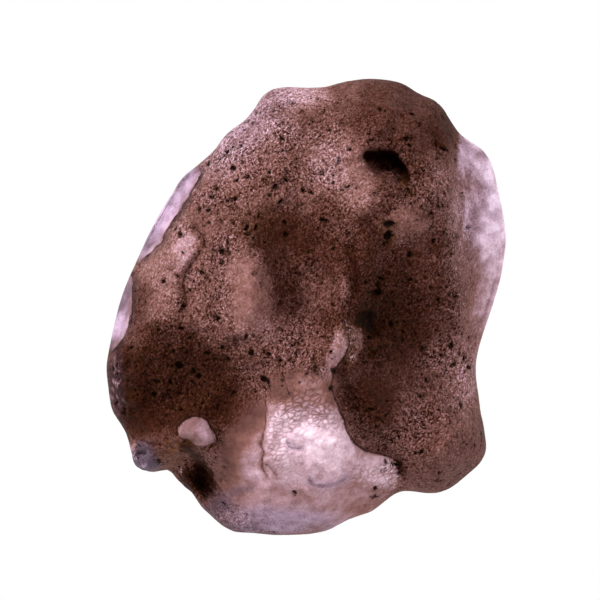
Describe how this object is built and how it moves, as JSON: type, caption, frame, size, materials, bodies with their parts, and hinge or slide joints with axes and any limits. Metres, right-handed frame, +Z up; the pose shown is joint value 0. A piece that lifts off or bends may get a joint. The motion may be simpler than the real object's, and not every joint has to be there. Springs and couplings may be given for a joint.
{
  "type": "tektite",
  "caption": "Loose pebble of smoky translucent natural glass with an etched, pitted skin, thumb-shaped hollows, a knob and a burst bubble, resting on its worn back.",
  "frame": {"origin": "on the resting face, under the middle of the pebble's box", "axes": "+Z up, out of the hollowed side that the picture shows; +Y along the pebble's length; +X to the right, as seen from straight above"},
  "size_m": [0.028, 0.032, 0.0153],
  "materials": {
    "tektite_glass": "frosted smoky brown glass, lilac where it is thin, with dark soil in the etch pits"
  },
  "bodies": {
    "root": {"tektite": "tektite_glass"}
  },
  "joints": []
}
